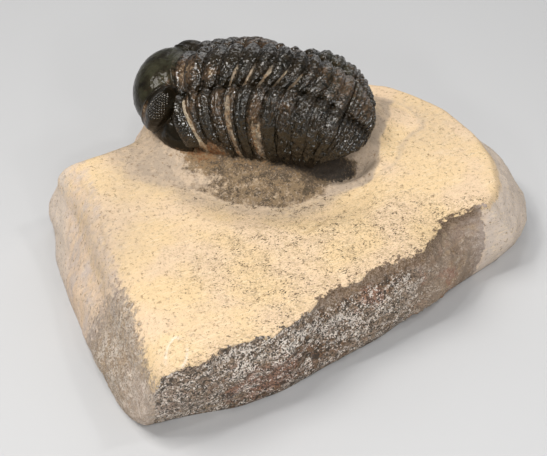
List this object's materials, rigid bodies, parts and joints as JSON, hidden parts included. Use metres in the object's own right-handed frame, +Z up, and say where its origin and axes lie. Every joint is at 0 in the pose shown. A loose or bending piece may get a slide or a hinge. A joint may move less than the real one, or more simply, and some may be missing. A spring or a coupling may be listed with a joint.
{
  "type": "phacops trilobite fossil on matrix",
  "caption": "Arched trilobite fossil with a swollen head, large eyes and a ribbed body, raised on a dressed slab of pale limestone with a flat base.",
  "frame": {"origin": "middle of the whole object's footprint, on the flat base of the slab", "axes": "+Z up from the flat base, +X towards the slab's wide right end, on the tail's side, -Y towards the slab's narrow front corner"},
  "size_m": [0.1122, 0.1068, 0.0446],
  "materials": {
    "limestone": "matte",
    "fossil_shell": "gloss"
  },
  "bodies": {
    "root": {"limestone_matrix": "limestone", "head_shield": "fossil_shell", "thorax_segment_01": "fossil_shell", "thorax_segment_02": "fossil_shell", "thorax_segment_03": "fossil_shell", "thorax_segment_04": "fossil_shell", "thorax_segment_05": "fossil_shell", "thorax_segment_06": "fossil_shell", "thorax_segment_07": "fossil_shell", "thorax_segment_08": "fossil_shell", "thorax_segment_09": "fossil_shell", "thorax_segment_10": "fossil_shell", "thorax_segment_11": "fossil_shell", "tail_shield": "fossil_shell"}
  },
  "joints": []
}
